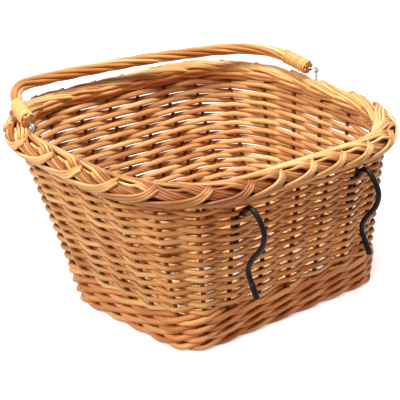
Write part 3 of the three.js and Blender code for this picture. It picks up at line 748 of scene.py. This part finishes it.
bow_height = 0.095
bow_shape = [
    (-0.965, 0.33), (-0.925, 0.56), (-0.875, 0.76), (-0.795, 0.905), (-0.647, 0.96), (-0.36, 0.995),
    (0.06, 1), (0.35, 0.955), (0.62, 0.89), (0.81, 0.77), (0.91, 0.6), (0.95, 0.38)]
bow_start = on_handle(0.0035 - half_span, 0.012)
bow_middle = [on_handle(along * half_span, up * bow_height) for along, up in bow_shape]
bow_end = on_handle(half_span - 0.006, 0.006)
bow_line = smooth_line([bow_start, *bow_middle, bow_end], 20)
bow_run = np.r_[0, np.cumsum(np.linalg.norm(np.diff(bow_line, axis=0), axis=1))]
bow_length = bow_run[-1]


def bow_point(distance):
    """Points on the bow at distances from its left end."""
    return np.stack([np.interp(distance, bow_run, bow_line[:, k]) for k in range(3)], -1)


def bow_frame(distance):
    """Centre, direction and inward direction of the bow at distances from its left end."""
    distance = np.asarray(distance, float)
    direction = bow_point(distance + 0.001) - bow_point(distance - 0.001)
    direction /= np.linalg.norm(direction, axis=-1, keepdims=True)
    return bow_point(distance), direction, np.cross(direction, handle_across)


rope_rods = 6
rope_lay = 0.19
rope_rod_radius = 0.0022
rope_circle = 0.0041
rope_unevenness = 0.00015
handle_ceiling = 0.2061

distances = np.linspace(0, bow_length, 150)
centre, _, inwards = bow_frame(distances)
handle_rods = []
for rod in range(rope_rods):
    twist = (2 * math.pi * (rod / rope_rods + distances / rope_lay))[:, None]
    circle = (rope_circle + rope_unevenness * np.sin(distances * 60 + rod))[:, None]
    points = centre + (handle_across * np.cos(twist) + inwards * np.sin(twist)) * circle
    radius = rope_rod_radius * chance.uniform(0.96, 1.0)
    points[:, 2] = np.minimum(points[:, 2], handle_ceiling - radius)
    handle_rods.append((points, radius))
handle_rods.append((centre, rope_rod_radius))
bow_handle = lay_rods("bow_handle", handle_rods)
handle_willow = willow_finish(
    "handle_willow", (240, 196, 134), (218, 158, 94), (182, 112, 58), varied=0.9, coat=0.15)
finish_piece(bow_handle, "handle", "willow", ["handle_bow"], handle_willow, cut_willow)


# Whippings: one flat skein of split willow wound ten times round each end of the handle. It
# keeps the rods together where the wire tie enters them.
skein_willow = willow_finish(
    "skein_willow", (250, 210, 146), (238, 182, 112), (220, 154, 84), varied=0.4, coat=0.15)
skein_turns = 10
steps_per_turn = 24
skein_length = 0.034
skein_circle = 0.00695
skein_from_end = 0.002
skein_run_radius = 0.007
skein_section = [
    (-1.5, 0.0), (-1.15, 0.62), (0, 0.78), (1.15, 0.62), (1.5, 0.0), (1.15, -0.62), (-1.15, -0.62)]

for name, end in (("left", -1), ("right", 1)):
    bm = bmesh.new()
    corners = [bm.verts.new((skein_circle + up / 1000, 0, side / 1000)) for side, up in skein_section]
    edges = [bm.edges.new((a, b)) for a, b in zip(corners, corners[1:] + corners[:1])]
    steps = skein_turns * steps_per_turn
    bmesh.ops.spin(
        bm, geom=corners + edges, cent=(0, 0, 0), axis=(0, 0, 1), dvec=(0, 0, skein_length / steps),
        angle=2 * math.pi * skein_turns, steps=steps, use_merge=False)
    bmesh.ops.holes_fill(bm, edges=bm.edges, sides=0)
    bmesh.ops.recalc_face_normals(bm, faces=bm.faces)
    mesh = bpy.data.meshes.new(f"skein_{name}")
    bm.to_mesh(mesh)
    bm.free()
    wound = np.zeros(len(mesh.vertices) * 3)
    mesh.vertices.foreach_get("co", wound)
    wound = wound.reshape(-1, 3)

    part_turn = np.arctan2(wound[:, 1], wound[:, 0]) / (2 * math.pi)
    whole_turns = np.round(wound[:, 2] / skein_length * skein_turns - part_turn)
    turns = whole_turns + part_turn
    bark = np.c_[
        wound[:, 2] - skein_length * turns / skein_turns, np.hypot(wound[:, 0], wound[:, 1]),
        turns * 2 * math.pi * skein_run_radius]
    keep_on_points(mesh, "bark_place", bark)
    keep_on_points(mesh, "rod_tone", 0.5 + 0.4 * np.sin(whole_turns * 2.3))

    away = skein_from_end + wound[:, 2]
    centre, _, inwards = bow_frame(away if end < 0 else bow_length - away)
    placed = centre + handle_across * wound[:, :1] + inwards * wound[:, 1:2]
    mesh.vertices.foreach_set("co", placed.ravel())
    mesh.polygons.foreach_set("use_smooth", np.ones(len(mesh.polygons), bool))
    mesh.update()
    skein = bpy.data.objects.new(f"skein_{name}", mesh)
    bpy.context.scene.collection.objects.link(skein)
    finish_piece(skein, "handle", "pale_willow", [f"whipping_{name}"], skein_willow)


# Ties: galvanised binding wire. A staple stands in the border, its legs twisted together, and
# an eye on the end of the handle goes round its top, so that the handle swings.
def tie_wire_finish():
    """Galvanised steel, dull in patches, with the zinc's fine spangle."""
    material, tree, shader = new_material("tie_wire")
    place = add_node(tree, "ShaderNodeTexCoord").outputs["Object"]
    spangle = add_node(tree, "ShaderNodeTexVoronoi", {"feature": "F1"},
                       Vector=place, Scale=900.0).outputs["Distance"]
    dull = noise(tree, place, 350.0, 4.0)
    colour = blend_colours(tree, dull, srgb(150, 153, 156), srgb(214, 216, 218))
    dress(tree, shader, colour, dull, 0.3, 0.0002)
    tree.links.new(maths(tree, "MULTIPLY_ADD", spangle, 0.3, 0.22), shader.inputs["Roughness"])
    shader.inputs["Metallic"].default_value = 1.0
    return material


tie_wire = tie_wire_finish()
tie_radius = 0.00082
twist_radius = 0.00095
twist_lay = 0.0068
twist_under_pivot = 0.0042
twist_points = 24
staple_depth = 0.008
staple_top = [
    (0.0020, -0.0024), (0.0021, -0.0008), (0.0013, 0), (-0.0013, 0), (-0.0021, -0.0008), (-0.0020, -0.0024)]
eye_radius = 0.0023
eye_in_handle = 0.010
eye_turn = 1.66 * math.pi

for name, end in (("left", -1), ("right", 1)):
    pivot = pivots[end]
    border_top = border_height(pivot[1]) + border_half_height
    twisted = np.linspace(border_top - staple_depth, pivot[2] - twist_under_pivot, twist_points)
    twist_axis = np.c_[np.full(twist_points, pivot[0]), np.full(twist_points, pivot[1]), twisted]
    lay = (twisted - twisted[-1])[:, None] / twist_lay * 2 * math.pi
    legs = []
    for side in (0, math.pi):
        aside = np.cos(lay + side) * handle_along + np.sin(lay + side) * handle_across
        legs.append(twist_axis + aside * twist_radius)
    top = [pivot + handle_along * a + np.array((0, 0, z)) for a, z in staple_top]
    staple_line = smooth_line([*legs[0], *top, *legs[1][::-1]], 4)
    staple = lay_rods(f"tie_staple_{name}", [(staple_line, tie_radius)])
    finish_piece(staple, "basket", "tie_wire", [f"hinge_staple_{name}"], tie_wire, tie_wire)

    centre, direction, _ = bow_frame(0.0 if end < 0 else bow_length)
    inner = centre - direction * end * eye_in_handle
    outer = (centre + on_handle(end * half_span, eye_radius)) / 2
    ring = [pivot + (handle_up * math.cos(turn) + handle_across * math.sin(turn)) * eye_radius
            for turn in np.linspace(0, eye_turn, 15)]
    eye_line = smooth_line([inner, (inner + centre) / 2, centre, outer, *ring], 3)
    eye = lay_rods(f"tie_eye_{name}", [(eye_line, tie_radius)])
    finish_piece(eye, "handle", "tie_wire", [f"hinge_eye_{name}"], tie_wire, tie_wire)


# Studio: a white floor in a white room, soft light from the upper left and from above with a
# weak warm fill from the right, and the camera where the photograph was taken.
def seen_white(tree):
    """Share that is 1 for the camera and in reflections, and 0 for all other light."""
    path = add_node(tree, "ShaderNodeLightPath").outputs
    seen = maths(tree, "MAXIMUM", path["Is Camera Ray"], path["Is Glossy Ray"])
    return maths(tree, "MAXIMUM", seen, path["Is Transmission Ray"])


floor_half_width = 1.7
floor_glow = 0.55
white = (1, 1, 1, 1)
seen_floor = (0.8, 0.8, 0.8, 1)
warm_floor = (0.5, 0.38, 0.29, 1)
room_colour = (1, 0.56, 0.36, 1)
room_strength = 0.13

bm = bmesh.new()
bmesh.ops.create_grid(bm, x_segments=1, y_segments=1, size=floor_half_width)
mesh = bpy.data.meshes.new("floor")
bm.to_mesh(mesh)
bm.free()
floor = bpy.data.objects.new("floor", mesh)
bpy.context.scene.collection.objects.link(floor)
paper, tree, shader = new_material("paper_sweep")
shader.inputs["Roughness"].default_value = 0.9
shader.inputs["Specular IOR Level"].default_value = 0.0
glow = add_node(tree, "ShaderNodeEmission", Color=white, Strength=floor_glow)
both = add_node(tree, "ShaderNodeAddShader", _0=shader.outputs[0], _1=glow.outputs[0])
seen = seen_white(tree)
tree.links.new(blend_colours(tree, seen, warm_floor, seen_floor), shader.inputs["Base Color"])
shown = add_node(tree, "ShaderNodeMixShader", _0=seen, _1=shader.outputs[0], _2=both.outputs[0])
tree.links.new(shown.outputs[0], tree.nodes["Material Output"].inputs["Surface"])
mesh.materials.append(paper)

world = bpy.data.worlds.new("studio")
bpy.context.scene.world = world
world.use_nodes = True
tree = world.node_tree
room = tree.nodes["Background"]
room.inputs["Color"].default_value = room_colour
room.inputs["Strength"].default_value = room_strength
backdrop = add_node(tree, "ShaderNodeBackground", Color=white, Strength=1.0)
seen = seen_white(tree)
shown = add_node(tree, "ShaderNodeMixShader", _0=seen, _1=room.outputs[0], _2=backdrop.outputs[0])
tree.links.new(shown.outputs[0], tree.nodes["World Output"].inputs["Surface"])


basket_middle = Vector((0, 0, 0.1))


def add_lamp(name, place, size, power, colour):
    """Round soft lamp that looks at the middle of the basket."""
    lamp = bpy.data.lights.new(name, "AREA")
    lamp.shape = "DISK"
    lamp.size = size
    lamp.energy = power
    lamp.color = colour
    aim = basket_middle - Vector(place)
    holder = bpy.data.objects.new(name, lamp)
    holder.matrix_world = Matrix.Translation(place) @ aim.to_track_quat("-Z", "Y").to_matrix().to_4x4()
    bpy.context.scene.collection.objects.link(holder)


add_lamp("key", place=(-1.6, 0.1, 1.3), size=0.7, power=30, colour=(0.98, 1, 0.97))
add_lamp("top", place=(-0.1, -0.35, 2.0), size=0.8, power=46, colour=(0.97, 1, 0.99))
add_lamp("fill", place=(0.9, -1.7, 0.7), size=1.2, power=1.3, colour=(1, 0.5, 0.3))

camera_place = (-0.96066, -1.00113, 0.62257)
camera_azimuth = math.radians(43.44088)
camera_tilt = math.radians(-21.09459)
camera_roll = math.radians(0.95563)
lens = bpy.data.cameras.new("camera")
lens.lens = 131.39
lens.sensor_width = 36
lens.clip_start, lens.clip_end = 0.05, 30
camera = bpy.data.objects.new("camera", lens)
camera.matrix_world = (
    Matrix.Translation(camera_place) @ Matrix.Rotation(-camera_azimuth, 4, "Z")
    @ Matrix.Rotation(math.pi / 2 + camera_tilt, 4, "X") @ Matrix.Rotation(camera_roll, 4, "Z"))
bpy.context.scene.collection.objects.link(camera)
bpy.context.scene.camera = camera
bpy.context.scene.view_settings.view_transform = "Standard"
